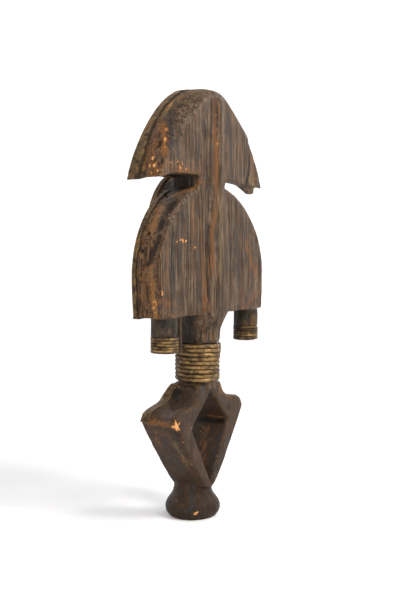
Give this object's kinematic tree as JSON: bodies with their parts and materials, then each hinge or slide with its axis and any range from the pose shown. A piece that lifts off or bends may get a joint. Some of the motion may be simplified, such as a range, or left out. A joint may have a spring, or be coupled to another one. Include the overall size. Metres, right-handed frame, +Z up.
{
  "type": "reliquary guardian figure",
  "caption": "Carved wooden guardian figure with a crescent crown, side wings, brass sheet face, wire-wound neck and pendants, on an open lozenge with a round foot.",
  "frame": {"origin": "middle of the flat underside of the foot, which stands on the surface", "axes": "+Z up along the figure's height, -Y the way the face looks, +X the figure's left"},
  "size_m": [0.2342, 0.0852, 0.5024],
  "materials": {
    "dark_wood": "weathered dark wood, bare and lighter where chipped",
    "aged_brass": "dull aged sheet brass",
    "dark_sheet": "dark tarnished sheet",
    "wound_wire": "worn wire, bright on its crests"
  },
  "bodies": {
    "root": {"wood_core": "dark_wood", "crescent_sheet": "aged_brass", "wing_sheet_left": "aged_brass", "wing_sheet_right": "aged_brass", "face_sheet": "aged_brass", "shoulder_sheet": "aged_brass", "neck_winding": "wound_wire", "pendant_sheet_left": "dark_sheet", "pendant_sheet_right": "dark_sheet", "pendant_winding_left": "wound_wire", "pendant_winding_right": "wound_wire"}
  },
  "joints": []
}
